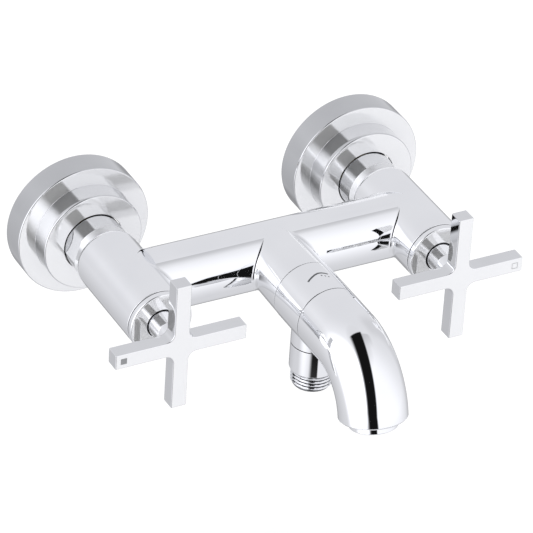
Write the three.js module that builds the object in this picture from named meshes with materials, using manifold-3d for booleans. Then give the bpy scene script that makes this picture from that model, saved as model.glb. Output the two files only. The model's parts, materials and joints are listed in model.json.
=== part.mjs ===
// Wall mounted bath faucet: two cross handles, a rotary diverter spout and a hose outlet.
// Units are millimetres. X runs to the right along the wall, Y runs into the wall, Z is up.
// The wall is the plane y = 0 and the origin lies midway between the two inlets.
import * as THREE from 'three';
import { mergeVertices } from 'three/addons/utils/BufferGeometryUtils.js';
import Module from 'manifold-3d';

const wasm = await Module();
wasm.setup();

// ---- driving dimensions -------------------------------------------------------------------
const INLET_SPACING = 150;
const GAP = 0.3;                 // free space left between pieces that touch on the real object

const ROSETTE_R = 34.75;
const ROSETTE_DEPTH = 13.8;
const ROSETTE_STEP_R = 25.9;
const ROSETTE_STEP_Y = -24.8;
const ROSETTE_WALL = 1.4;
const ROSETTE_EDGE = 0.8;

const TAIL_R = 10.4;             // G1/2 thread of the wall connection
const TAIL_LENGTH = 18;
const TAIL_OFFSET = 7.5;         // eccentricity of the wall connection
const UNION_THREAD_R = 13.2;     // G3/4 thread under the union nut
const NUT_R = 15.1;
const NUT_FLATS = 27.6;
const NUT_BACK_Y = -18.5;
const NUT_EDGE_Y = -35.1;
const NUT_FRONT_Y = -38.2;

const SIDE_R = 16.2;
const SIDE_BACK_Y = -38.6;
const SIDE_FRONT_Y = -96.6;
const CROSSBAR_R = 16.0;
const CROSSBAR_Y = -66;
const STEM_BACK_R = 15.9;
const STEM_FRONT_R = 16.5;
const STEM_FRONT_Y = -102.2;
const PASSAGE_R = 5.5;
const PASSAGE_Y = -73;
const STEM_BORE_R = 10.3;
const HEADWORK_BORE_R = 10.6;
const SEAT_Y = -62;

const FRONT_RING_R = 16.0;
const FACE_Y = -100;
const FRONT_HOLE_R = 7.9;
const HUB_R = 7.05;
const HUB_BORE_R = 5.5;
const ARM_BACK_Y = -113.5;
const ARM_FRONT_Y = -121.3;
const ARM_LENGTH = 34;
const ARM_HALF = 3.95;
const ARM_FILLET = 4.2;
const INDEX_SIZE = 3.2;
const INDEX_FROM_AXIS = 29.8;

const SPINDLE_R = 4.0;
const SPINDLE_BORE_R = 4.1;
const DISC_R = 7.0;
const DISC_CHAMBER_R = 7.2;
const DISC_T = 2.8;

const DIVERTER_R = 16.6;
const DIVERTER_BACK_Y = STEM_FRONT_Y - GAP;
const DIVERTER_FRONT_Y = -126;
const CHAMBER_BACK_Y = -105.5;
const CHAMBER_R = 10.3;
const OUTLET_Y = -114.4;
const BOSS_R = 11.6;
const BOSS_Z = -20.3;
const NIPPLE_R = 11.4;
const NIPPLE_SHOULDER_Z = -34.7;
const NIPPLE_END_Z = -44.1;
const HOSE_THREAD_R = 10.4;      // G1/2 male thread for the shower hose

const SPOUT_R = 16.6;
const SPOUT_BACK_Y = -126.4;
const SPOUT_BEND_Y = -143.8;
const SPOUT_BEND_R = 31;
const SPOUT_BEND_DEG = 76.6;
const SPOUT_END = 1.7;           // straight length after the bend
const SPOUT_BORE_R = 10.8;
const SPOUT_MOUTH_R = 12.1;
const SPIGOT_R = 10.2;
const AERATOR_R = 11.7;
const AERATOR_OUT = 4.4;

const SEG_L = 32;
const SEG_M = 20;
const SEG_S = 12;
const SEG_RUBBER = 16;

// ---- materials ----------------------------------------------------------------------------
const FINISH = {
  chrome: { color: 0xdfe3e8, roughness: 0.06, metalness: 1 },
  brass: { color: 0xc9a45c, roughness: 0.35, metalness: 1 },
  steel: { color: 0xb9bcc0, roughness: 0.3, metalness: 1 },
  rubber: { color: 0x1c1c1e, roughness: 0.8, metalness: 0 },
  ceramic: { color: 0xf1efe9, roughness: 0.25, metalness: 0 },
  plastic: { color: 0xe9e9e6, roughness: 0.5, metalness: 0 },
  ptfe: { color: 0xf6f6f2, roughness: 0.45, metalness: 0 },
  index: { color: 0x55585d, roughness: 0.45, metalness: 0 },
};

// ---- helpers ------------------------------------------------------------------------------
// A closed three.js geometry as a solid that faces outwards.
function solid(geometry) {
  const bare = geometry.clone();
  bare.deleteAttribute('normal');
  bare.deleteAttribute('uv');
  const merged = mergeVertices(bare, 1e-4);
  const position = merged.getAttribute('position');
  const source = merged.getIndex().array;
  const corners = [0, 1, 2].map(() => new THREE.Vector3());
  const tris = [];
  let volume = 0;
  for (let i = 0; i < source.length; i += 3) {
    const [a, b, c] = [source[i], source[i + 1], source[i + 2]];
    if (a === b || b === c || c === a) continue;
    tris.push(a, b, c);
    [a, b, c].forEach((v, k) => corners[k].fromBufferAttribute(position, v));
    volume += corners[0].dot(corners[1].clone().cross(corners[2]));
  }
  if (volume < 0) {
    for (let i = 0; i < tris.length; i += 3) {
      [tris[i + 1], tris[i + 2]] = [tris[i + 2], tris[i + 1]];
    }
  }
  return new wasm.Manifold(new wasm.Mesh({
    numProp: 3,
    vertProperties: Float32Array.from(position.array),
    triVerts: Uint32Array.from(tris),
  }));
}

function geometryOf(body) {
  const mesh = body.getMesh();
  const geometry = new THREE.BufferGeometry();
  const stride = mesh.numProp;
  const points = new Float32Array(mesh.vertProperties.length / stride * 3);
  for (let i = 0; i < points.length / 3; i += 1) {
    points.set(mesh.vertProperties.subarray(i * stride, i * stride + 3), i * 3);
  }
  geometry.setAttribute('position', new THREE.BufferAttribute(points, 3));
  geometry.setIndex(new THREE.BufferAttribute(Uint32Array.from(mesh.triVerts), 1));
  geometry.computeVertexNormals();
  return geometry;
}

// A turned solid about the Y axis from [radius, y] points; the outline closes on itself.
function turned(outline, segments) {
  const points = outline.map(([r, y]) => new THREE.Vector2(r, y));
  if (outline[0][0] > 0) points.push(points[0].clone());
  return solid(new THREE.LatheGeometry(points, segments));
}

// A washer or sleeve between two radii and two places on the Y axis.
function sleeve(inner, outer, y0, y1, segments) {
  return turned([[inner, y0], [outer, y0], [outer, y1], [inner, y1]], segments);
}

// A plain round bar along Y.
function bar(radius, y0, y1, segments, x = 0, z = 0) {
  const geometry = new THREE.CylinderGeometry(radius, radius, Math.abs(y1 - y0), segments);
  geometry.translate(x, (y0 + y1) / 2, z);
  return solid(geometry);
}

function barX(radius, x0, x1, segments, y) {
  const geometry = new THREE.CylinderGeometry(radius, radius, Math.abs(x1 - x0), segments);
  geometry.rotateZ(Math.PI / 2);
  geometry.translate((x0 + x1) / 2, y, 0);
  return solid(geometry);
}

function barZ(radius, z0, z1, segments, y, x = 0) {
  const geometry = new THREE.CylinderGeometry(radius, radius, Math.abs(z1 - z0), segments);
  geometry.rotateX(Math.PI / 2);
  geometry.translate(x, y, (z0 + z1) / 2);
  return solid(geometry);
}

function block(x0, x1, y0, y1, z0, z1) {
  const geometry = new THREE.BoxGeometry(x1 - x0, Math.abs(y1 - y0), z1 - z0);
  geometry.translate((x0 + x1) / 2, (y0 + y1) / 2, (z0 + z1) / 2);
  return solid(geometry);
}

// A rubber O-ring about the Y axis.
function oRing(radius, thickness, y) {
  const sides = 5;
  const outline = [];
  for (let i = 0; i < sides; i += 1) {
    const a = (i / sides) * Math.PI * 2;
    outline.push([radius + thickness * Math.cos(a), y + thickness * Math.sin(a)]);
  }
  return turned(outline, SEG_RUBBER);
}

// A turned outline whose second coordinate is a height, stood upright at the outlet.
function upright(outline, segments) {
  const points = outline.map(([r, z]) => new THREE.Vector2(r, z));
  if (outline[0][0] > 0) points.push(points[0].clone());
  const geometry = new THREE.LatheGeometry(points, segments);
  geometry.rotateX(Math.PI / 2);
  geometry.translate(0, OUTLET_Y, 0);
  return solid(geometry);
}

function addPart(group, name, body, finish) {
  const material = new THREE.MeshStandardMaterial(FINISH[finish]);
  const mesh = new THREE.Mesh(geometryOf(body), material);
  mesh.name = name;
  group.add(mesh);
  return mesh;
}

// ---- wall side ----------------------------------------------------------------------------
// Stepped cover plate, pressed from sheet and open at the back.
function rosette() {
  const stepBack = ROSETTE_STEP_Y + ROSETTE_WALL;
  return turned([
    [ROSETTE_R, 0],
    [ROSETTE_R, -ROSETTE_DEPTH + ROSETTE_EDGE],
    [ROSETTE_R - ROSETTE_EDGE, -ROSETTE_DEPTH],
    [ROSETTE_STEP_R, -ROSETTE_DEPTH],
    [ROSETTE_STEP_R, ROSETTE_STEP_Y + ROSETTE_EDGE],
    [ROSETTE_STEP_R - ROSETTE_EDGE, ROSETTE_STEP_Y],
    [NUT_R + 0.4, ROSETTE_STEP_Y],
    [NUT_R + 0.4, stepBack],
    [ROSETTE_STEP_R - ROSETTE_WALL, stepBack],
    [ROSETTE_STEP_R - ROSETTE_WALL, -ROSETTE_DEPTH + ROSETTE_WALL],
    [ROSETTE_R - ROSETTE_WALL, -ROSETTE_DEPTH + ROSETTE_WALL],
    [ROSETTE_R - ROSETTE_WALL, 0],
  ], SEG_L);
}

// Soft ring inside the rim of the rosette that keeps water out of the wall.
function wallSeal() {
  const outer = ROSETTE_R - ROSETTE_WALL - GAP;
  return sleeve(outer - 5.5, outer, -GAP, -GAP - 3, SEG_M);
}

// Eccentric wall connection: tail in the wall, offset belly, thread for the union nut.
function eccentricUnion() {
  const belly = new THREE.Shape();
  belly.absarc(0, 0, UNION_THREAD_R, 0, Math.PI, false);
  belly.absarc(0, -TAIL_OFFSET, UNION_THREAD_R, Math.PI, Math.PI * 2, false);
  const lump = new THREE.ExtrudeGeometry(belly, { depth: 8, bevelEnabled: false, curveSegments: 10 });
  lump.rotateX(Math.PI / 2);
  lump.translate(0, -4, 0);
  const body = solid(lump)
    .add(bar(TAIL_R, TAIL_LENGTH, -6, SEG_M, 0, -TAIL_OFFSET))
    .add(bar(UNION_THREAD_R - 0.1, -10, -29, SEG_M));
  return body
    .subtract(bar(7.5, TAIL_LENGTH + 1, -9, SEG_S, 0, -TAIL_OFFSET))
    .subtract(bar(8.5, -7, -30, SEG_S));
}

// Round union nut with two spanner flats and a chamfered front.
function unionNut(flatAngle) {
  const body = turned([
    [NUT_R, NUT_BACK_Y],
    [NUT_R, NUT_EDGE_Y],
    [13.4, NUT_FRONT_Y],
    [10.9, NUT_FRONT_Y],
    [10.9, -33.9],
    [UNION_THREAD_R + 0.4, -33.9],
    [UNION_THREAD_R + 0.4, NUT_BACK_Y],
  ], SEG_L);
  const half = NUT_FLATS / 2;
  let nut = body;
  for (const side of [0, 180]) {
    const cutter = new THREE.BoxGeometry(6, 24, 40);
    cutter.translate(half + 3, -27, 0);
    cutter.rotateY(THREE.MathUtils.degToRad(flatAngle + side));
    nut = nut.subtract(solid(cutter));
  }
  return nut;
}

function inletWasher() {
  return sleeve(8.2, 12.8, -29.4, -31.2, SEG_S);
}

// Threaded tail whose collar is drawn against the washer by the union nut.
function inletTail() {
  return turned([
    [13.0, -31.5],
    [13.0, -33.5],
    [10.5, -33.5],
    [10.5, -38.2],
    [9.6, -38.2],
    [9.6, -51.8],
    [7.5, -51.8],
    [7.5, -31.5],
  ], SEG_M);
}

// ---- body ---------------------------------------------------------------------------------
function sideTube() {
  const shoulder = 3.6;
  const outline = [[0, SIDE_BACK_Y]];
  for (let i = 0; i <= 3; i += 1) {
    const a = (i / 3) * Math.PI / 2;
    outline.push([SIDE_R - shoulder + shoulder * Math.sin(a),
      SIDE_BACK_Y - shoulder + shoulder * Math.cos(a)]);
  }
  outline.push([SIDE_R, SIDE_FRONT_Y], [0, SIDE_FRONT_Y]);
  return turned(outline, SEG_L);
}

// One casting: two side tubes, the crossbar and the forward stem, bored for water.
function bodyCasting() {
  const half = INLET_SPACING / 2;
  const stem = turned([
    [0, CROSSBAR_Y],
    [STEM_BACK_R, CROSSBAR_Y],
    [STEM_FRONT_R, STEM_FRONT_Y],
    [0, STEM_FRONT_Y],
  ], SEG_L);
  let body = stem.add(barX(CROSSBAR_R, -half, half, SEG_L, CROSSBAR_Y));
  for (const x of [-half, half]) {
    body = body.add(sideTube().translate([x, 0, 0]));
  }
  for (const x of [-half, half]) {
    body = body
      .subtract(bar(9.9, SIDE_BACK_Y + 1, -52.1, SEG_M, x))
      .subtract(bar(5.0, -50, SEAT_Y - 1, SEG_S, x))
      .subtract(bar(HEADWORK_BORE_R, SEAT_Y, SIDE_FRONT_Y - 1, SEG_M, x));
  }
  return body
    .subtract(barX(PASSAGE_R, -half, half, SEG_S, PASSAGE_Y))
    .subtract(bar(STEM_BORE_R, SEAT_Y, STEM_FRONT_Y - 1, SEG_M));
}

// ---- quarter turn headwork ----------------------------------------------------------------
function headworkHousing() {
  const body = turned([
    [8.6, -62.6],
    [8.6, -80],
    [10.3, -80],
    [10.3, -84.4],
    [8.9, -84.4],
    [8.9, -86.6],
    [10.3, -86.6],
    [10.3, -96.2],
    [8.8, -96.2],
    [8.8, -98.0],
    [SPINDLE_BORE_R, -98.0],
    [SPINDLE_BORE_R, -88],
    [DISC_CHAMBER_R, -88],
    [DISC_CHAMBER_R, -62.6],
  ], SEG_M);
  return body.subtract(block(-12, 12, -71.5, -79.5, -4, 4));
}

function headworkORing() {
  return oRing(9.85, 0.58, -85.5);
}

function seatSeal() {
  return sleeve(5.4, DISC_R, SEAT_Y - GAP, -64.2, SEG_S);
}

// Ceramic disc with two ports; the ports lie on X when `across` is true, else on Z.
function ceramicDisc(y, across) {
  let disc = bar(DISC_R, y, y - DISC_T, SEG_M);
  for (const s of [-1, 1]) {
    const near = s * 1.2;
    const far = s * 5.2;
    const [lo, hi] = [Math.min(near, far), Math.max(near, far)];
    const port = across
      ? block(lo, hi, y + 1, y - DISC_T - 1, -2.4, 2.4)
      : block(-2.4, 2.4, y + 1, y - DISC_T - 1, lo, hi);
    disc = disc.subtract(port);
  }
  return disc;
}

// Spindle: blade that turns the disc, thrust flange, bearing shaft and toothed end.
function spindle() {
  const teeth = 10;
  const outline = new THREE.Shape();
  for (let i = 0; i < teeth * 2; i += 1) {
    const a = (i / (teeth * 2)) * Math.PI * 2;
    const r = i % 2 ? 3.1 : 3.6;
    if (i === 0) outline.moveTo(r * Math.cos(a), r * Math.sin(a));
    else outline.lineTo(r * Math.cos(a), r * Math.sin(a));
  }
  outline.closePath();
  const spline = new THREE.ExtrudeGeometry(outline, { depth: 14.2, bevelEnabled: false });
  spline.rotateX(Math.PI / 2);
  spline.translate(0, -98.4, 0);
  const shaft = turned([
    [0, -83],
    [6.9, -83],
    [6.9, -86],
    [SPINDLE_R, -86],
    [SPINDLE_R, -92.2],
    [3.1, -92.2],
    [3.1, -93.4],
    [SPINDLE_R, -93.4],
    [SPINDLE_R, -98.4],
    [0, -98.4],
  ], SEG_S);
  return shaft
    .add(solid(spline))
    .add(block(-5.4, 5.4, -70.7, -84, -1.0, 1.0));
}

function spindleORing() {
  return oRing(3.56, 0.36, -92.8);
}

// Chrome ring that closes the front of the side tube around the handle hub.
function frontRing() {
  return turned([
    [FRONT_RING_R, SIDE_FRONT_Y - GAP],
    [FRONT_RING_R, FACE_Y + 0.7],
    [FRONT_RING_R - 0.7, FACE_Y],
    [FRONT_HOLE_R, FACE_Y],
    [FRONT_HOLE_R, -98.4],
    [9.1, -98.4],
    [9.1, SIDE_FRONT_Y - GAP],
  ], SEG_L);
}

// ---- cross handle -------------------------------------------------------------------------
function crossShape() {
  const h = ARM_HALF;
  const f = ARM_FILLET;
  const shape = new THREE.Shape();
  shape.moveTo(h, ARM_LENGTH);
  for (let quarter = 0; quarter < 4; quarter += 1) {
    const turn = (x, y) => {
      const p = new THREE.Vector2(x, y).rotateAround(new THREE.Vector2(), quarter * Math.PI / 2);
      return [p.x, p.y];
    };
    shape.lineTo(...turn(-h, ARM_LENGTH));
    const [cx, cy] = turn(-h - f, h + f);
    const start = quarter * Math.PI / 2;
    shape.absarc(cx, cy, f, start, start - Math.PI / 2, true);
    if (quarter < 3) shape.lineTo(...turn(-ARM_LENGTH, h));
  }
  shape.closePath();
  return shape;
}

// Square pocket, or square groove when `framed`, near the end of one arm.
function indexPocket(side, framed) {
  const x = side * INDEX_FROM_AXIS;
  const half = INDEX_SIZE / 2 + GAP;
  const bottom = ARM_FRONT_Y + 0.8;
  const pocket = block(x - half, x + half, ARM_FRONT_Y - 1, bottom, -half, half);
  if (!framed) return pocket;
  const core = 0.65;
  return pocket.subtract(block(x - core, x + core, ARM_FRONT_Y - 2, bottom + 1, -core, core));
}

function indexInlay(side, framed) {
  const x = side * INDEX_FROM_AXIS;
  const half = INDEX_SIZE / 2;
  const back = ARM_FRONT_Y + 0.5;
  const plate = block(x - half, x + half, ARM_FRONT_Y, back, -half, half);
  if (!framed) return plate;
  const core = 0.65 + GAP;
  return plate.subtract(block(x - core, x + core, ARM_FRONT_Y - 1, back + 1, -core, core));
}

function crossHandle(side, framed) {
  const arms = new THREE.ExtrudeGeometry(crossShape(), {
    depth: ARM_BACK_Y - ARM_FRONT_Y, bevelEnabled: false, curveSegments: 4,
  });
  arms.rotateX(Math.PI / 2);
  arms.translate(0, ARM_BACK_Y, 0);
  return solid(arms)
    .add(bar(HUB_R, -98.7, ARM_BACK_Y - 1, SEG_M))
    .subtract(bar(HUB_BORE_R, -97, -115.2, SEG_M))
    .subtract(barZ(1.75, -8, -4.6, 12, -107))
    .subtract(indexPocket(side, framed));
}

function splineInsert() {
  return sleeve(3.9, HUB_BORE_R - GAP, -99.2, -114.6, SEG_S)
    .subtract(barZ(1.75, -8, -3, 12, -107));
}

function handleGrubScrew() {
  return barZ(1.45, -6.9, -4.0, 12, -107).subtract(barZ(0.75, -8, -5.9, 6, -107));
}

// ---- diverter and hose outlet -------------------------------------------------------------
// Fixed housing in front of the stem, with the boss for the hose outlet below it.
function diverterHousing() {
  const shell = turned([
    [0, DIVERTER_BACK_Y],
    [DIVERTER_R, DIVERTER_BACK_Y],
    [DIVERTER_R, DIVERTER_FRONT_Y],
    [0, DIVERTER_FRONT_Y],
  ], SEG_L);
  return shell
    .add(turned([[0, -92], [10, -92], [10, -96], [8.7, -96], [8.7, -98.2], [10, -98.2],
      [10, -104], [0, -104]], SEG_M))
    .add(barZ(BOSS_R, BOSS_Z, -6, SEG_M, OUTLET_Y))
    .subtract(bar(6.5, -91, DIVERTER_BACK_Y, SEG_S))
    .subtract(block(-1.8, 1.8, -101, CHAMBER_BACK_Y - 1, 2, 8.8))
    .subtract(bar(CHAMBER_R, CHAMBER_BACK_Y, DIVERTER_FRONT_Y - 1, SEG_L))
    .subtract(bar(11.3, -121.1, -122.9, SEG_M))
    .subtract(barZ(9.6, BOSS_Z - 1, -12.2, SEG_M, OUTLET_Y))
    .subtract(barZ(3.0, -14, -8, SEG_S, OUTLET_Y));
}

function housingORing() {
  return oRing(9.55, 0.5, -97.1);
}

// Drum turned by the spout: one port leads to the spout, two lead to the outlet groove.
function diverterSpool() {
  const drum = turned([
    [0, -105.8],
    [9.9, -105.8],
    [9.9, -107.3],
    [8.2, -107.3],
    [8.2, -109.5],
    [9.9, -109.5],
    [9.9, -112.2],
    [7.2, -112.2],
    [7.2, -116.4],
    [9.9, -116.4],
    [9.9, -117.6],
    [8.2, -117.6],
    [8.2, -119.8],
    [9.9, -119.8],
    [9.9, -120.7],
    [7.2, -120.7],
    [7.2, -128],
    [0, -128],
  ], SEG_M);
  let spool = drum
    .subtract(bar(2.0, -105, -119, SEG_S, 0, 3.5))
    .subtract(bar(6.0, -118, -129, SEG_S));
  for (const x of [-6.6, 6.6]) {
    spool = spool.subtract(bar(1.1, -105, -113, 10, x));
  }
  return spool;
}

function spoolORing(y) {
  return oRing(9.35, 0.82, y);
}

// Open spring ring that keeps the drum in the housing.
function spoolCirclip() {
  return sleeve(8.7, 11.0, -121.4, -122.6, SEG_M).subtract(block(-2, 2, -120, -124, -12, -7));
}

function spoutGlideRing() {
  return sleeve(11.1, 13.5, -126.2, -127.3, SEG_M);
}

// Hose nipple: spigot in the boss, plain collar and a male thread of four crests.
function outletNipple() {
  const outline = [
    [9.3, -12.6],
    [9.3, -13.4],
    [7.9, -13.4],
    [7.9, -15.2],
    [9.3, -15.2],
    [9.3, BOSS_Z - GAP],
    [NIPPLE_R, BOSS_Z - GAP],
    [NIPPLE_R, NIPPLE_SHOULDER_Z],
    [9.5, NIPPLE_SHOULDER_Z - 0.4],
  ];
  const pitch = 1.9;
  for (let i = 0; i < 4; i += 1) {
    const z = NIPPLE_SHOULDER_Z - 2 - i * pitch;
    outline.push([HOSE_THREAD_R, z]);
    if (i < 3) outline.push([9.6, z - pitch / 2]);
  }
  outline.push([9.4, NIPPLE_END_Z], [7.3, NIPPLE_END_Z], [7.3, -24.5], [5.5, -24.5], [5.5, -12.6]);
  return upright(outline, SEG_M);
}

function nippleORing() {
  const ring = [];
  for (let i = 0; i < 5; i += 1) {
    const a = (i / 5) * Math.PI * 2;
    ring.push([8.82 + 0.6 * Math.cos(a), -14.3 + 0.6 * Math.sin(a)]);
  }
  return upright(ring, SEG_RUBBER);
}

// Check valve cartridge: seat at the top, guide plate with four ports at the bottom.
function checkValveHousing() {
  let body = upright([
    [4.2, -25],
    [7.0, -25],
    [7.0, -40.5],
    [1.46, -40.5],
    [1.46, -38.6],
    [5.6, -38.6],
    [5.6, -27],
    [4.2, -27],
  ], SEG_S);
  for (let i = 0; i < 4; i += 1) {
    const a = (i + 0.5) * Math.PI / 2;
    body = body.subtract(barZ(1.1, -42, -37, 8, OUTLET_Y + 3.6 * Math.sin(a), 3.6 * Math.cos(a)));
  }
  return body;
}

function checkValvePoppet() {
  return upright([
    [0, -28.2],
    [4.9, -28.2],
    [4.9, -29.4],
    [1.4, -29.4],
    [1.4, -39.6],
    [0, -39.6],
  ], SEG_S);
}

function checkValveSeal() {
  return upright([[2.6, -27.25], [4.9, -27.25], [4.9, -27.95], [2.6, -27.95]], SEG_S);
}

class Helix extends THREE.Curve {
  constructor(radius, top, bottom, turns) {
    super();
    Object.assign(this, { radius, top, bottom, turns });
  }

  getPoint(t, target = new THREE.Vector3()) {
    const a = t * this.turns * Math.PI * 2;
    return target.set(
      this.radius * Math.cos(a),
      OUTLET_Y + this.radius * Math.sin(a),
      this.top + (this.bottom - this.top) * t,
    );
  }
}

function roundShape(radius, sides) {
  const shape = new THREE.Shape();
  for (let i = 0; i < sides; i += 1) {
    const a = (i / sides) * Math.PI * 2;
    if (i === 0) shape.moveTo(radius, 0);
    else shape.lineTo(radius * Math.cos(a), radius * Math.sin(a));
  }
  shape.closePath();
  return shape;
}

function checkValveSpring() {
  const turns = 4;
  return solid(new THREE.ExtrudeGeometry(roundShape(0.3, 5), {
    steps: turns * 10,
    bevelEnabled: false,
    extrudePath: new Helix(2.9, -30.1, -37.9, turns),
  }));
}

// ---- spout --------------------------------------------------------------------------------
// Centre line of the spout: straight, round bend, short straight end.
class SpoutLine extends THREE.Curve {
  constructor(startY, endExtra) {
    super();
    this.startY = startY;
    this.straight = startY - SPOUT_BEND_Y;
    this.bend = SPOUT_BEND_R * THREE.MathUtils.degToRad(SPOUT_BEND_DEG);
    this.total = this.straight + this.bend + endExtra;
  }

  getPoint(t, target = new THREE.Vector3()) {
    const s = t * this.total;
    if (s <= this.straight) return target.set(0, this.startY - s, 0);
    const angle = Math.min((s - this.straight) / SPOUT_BEND_R, this.bend / SPOUT_BEND_R);
    const rest = Math.max(s - this.straight - this.bend, 0);
    return target.set(
      0,
      SPOUT_BEND_Y - SPOUT_BEND_R * Math.sin(angle) - rest * Math.cos(angle),
      -SPOUT_BEND_R * (1 - Math.cos(angle)) - rest * Math.sin(angle),
    );
  }
}

function spoutTube(radius, startY, endExtra, segments, steps) {
  const tube = new THREE.ExtrudeGeometry(roundShape(radius, segments), {
    steps,
    bevelEnabled: false,
    extrudePath: new SpoutLine(startY, endExtra),
  });
  return solid(tube);
}

// Moves a solid turned about Y, whose y = 0 is the mouth and -y the flow, to the spout mouth.
function atMouth(body) {
  const end = new SpoutLine(SPOUT_BACK_Y, SPOUT_END).getPoint(1);
  const turn = new THREE.Matrix4().makeRotationX(THREE.MathUtils.degToRad(SPOUT_BEND_DEG));
  turn.setPosition(end);
  return body.transform(turn.elements);
}

function spout() {
  const outside = spoutTube(SPOUT_R, SPOUT_BACK_Y, SPOUT_END - 0.8, SEG_L, 13);
  const lip = turned([[0, 1.2], [SPOUT_R, 1.2], [SPOUT_R, 0.8], [SPOUT_R - 0.8, 0], [0, 0]], SEG_L);
  return outside
    .add(atMouth(lip))
    .add(bar(SPIGOT_R, -123.2, SPOUT_BACK_Y - 2, SEG_L))
    .subtract(spoutTube(SPOUT_BORE_R, -131, -6, SEG_S, 8))
    .subtract(bar(7.5, -122, -132, SEG_M))
    .subtract(sleeve(10.8, 13.8, SPOUT_BACK_Y + 1, -127.6, SEG_M))
    .subtract(atMouth(bar(SPOUT_MOUTH_R, -1, 9, SEG_M)));
}

function aeratorHousing() {
  return atMouth(turned([
    [AERATOR_R, 6],
    [AERATOR_R, -AERATOR_OUT + 0.6],
    [AERATOR_R - 0.6, -AERATOR_OUT],
    [9.0, -AERATOR_OUT],
    [9.0, -AERATOR_OUT + 1],
    [10.2, -AERATOR_OUT + 1],
    [10.2, 6],
  ], SEG_M));
}

// Flow straightener: a round plate with rings of holes.
function aeratorInsert() {
  let plate = bar(9.9, -AERATOR_OUT + 1.3, 2.4, SEG_M);
  const holes = [[0, 0]];
  for (let i = 0; i < 6; i += 1) {
    const a = (i / 6) * Math.PI * 2;
    holes.push([5.6 * Math.cos(a), 5.6 * Math.sin(a)]);
  }
  for (const [x, z] of holes) {
    plate = plate.subtract(bar(1.7, -AERATOR_OUT, 4, 8, x, z));
  }
  return atMouth(plate);
}

function aeratorWasher() {
  return atMouth(sleeve(8.4, 11.6, 6.3, 8.7, SEG_S));
}

// ---- assembly -----------------------------------------------------------------------------
const SIDES = [
  { name: 'hot', x: -1, framed: false, flats: 16 },
  { name: 'cold', x: 1, framed: true, flats: -30 },
];

function addSide(root, side) {
  const group = new THREE.Group();
  group.name = `${side.name}_side`;
  group.position.x = side.x * INLET_SPACING / 2;
  const put = (name, body, finish) => addPart(group, `${side.name}_${name}`, body, finish);
  put('rosette', rosette(), 'chrome');
  put('wall_seal', wallSeal(), 'rubber');
  put('eccentric_union', eccentricUnion(), 'brass');
  put('union_nut', unionNut(side.flats), 'chrome');
  put('inlet_washer', inletWasher(), 'rubber');
  put('inlet_tail', inletTail(), 'brass');
  put('headwork_housing', headworkHousing(), 'brass');
  put('headwork_oring', headworkORing(), 'rubber');
  put('seat_seal', seatSeal(), 'rubber');
  put('fixed_disc', ceramicDisc(-64.5, true), 'ceramic');
  put('turning_disc', ceramicDisc(-67.6, false), 'ceramic');
  put('spindle', spindle(), 'brass');
  put('spindle_oring', spindleORing(), 'rubber');
  put('front_ring', frontRing(), 'chrome');
  put('handle', crossHandle(side.x, side.framed), 'chrome');
  put('spline_insert', splineInsert(), 'plastic');
  put('handle_grub_screw', handleGrubScrew(), 'steel');
  put('index_inlay', indexInlay(side.x, side.framed), 'index');
  root.add(group);
}

function addCentre(root) {
  addPart(root, 'body_casting', bodyCasting(), 'chrome');
  addPart(root, 'diverter_housing', diverterHousing(), 'chrome');
  addPart(root, 'housing_oring', housingORing(), 'rubber');
  addPart(root, 'diverter_spool', diverterSpool(), 'brass');
  addPart(root, 'spool_oring_rear', spoolORing(-108.4), 'rubber');
  addPart(root, 'spool_oring_front', spoolORing(-118.7), 'rubber');
  addPart(root, 'spool_circlip', spoolCirclip(), 'steel');
  addPart(root, 'spout_glide_ring', spoutGlideRing(), 'ptfe');
  addPart(root, 'spout', spout(), 'chrome');
  addPart(root, 'aerator_housing', aeratorHousing(), 'chrome');
  addPart(root, 'aerator_insert', aeratorInsert(), 'plastic');
  addPart(root, 'aerator_washer', aeratorWasher(), 'rubber');
  addPart(root, 'outlet_nipple', outletNipple(), 'chrome');
  addPart(root, 'nipple_oring', nippleORing(), 'rubber');
  addPart(root, 'check_valve_housing', checkValveHousing(), 'plastic');
  addPart(root, 'check_valve_poppet', checkValvePoppet(), 'plastic');
  addPart(root, 'check_valve_seal', checkValveSeal(), 'rubber');
  addPart(root, 'check_valve_spring', checkValveSpring(), 'steel');
}

const faucet = new THREE.Group();
faucet.name = 'wall_mounted_bath_faucet';
for (const side of SIDES) addSide(faucet, side);
addCentre(faucet);

export default faucet;
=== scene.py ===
"""Wall mounted bath faucet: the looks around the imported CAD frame."""

import json
import math

import bmesh
import bpy
from mathutils import Matrix, Vector


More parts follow.
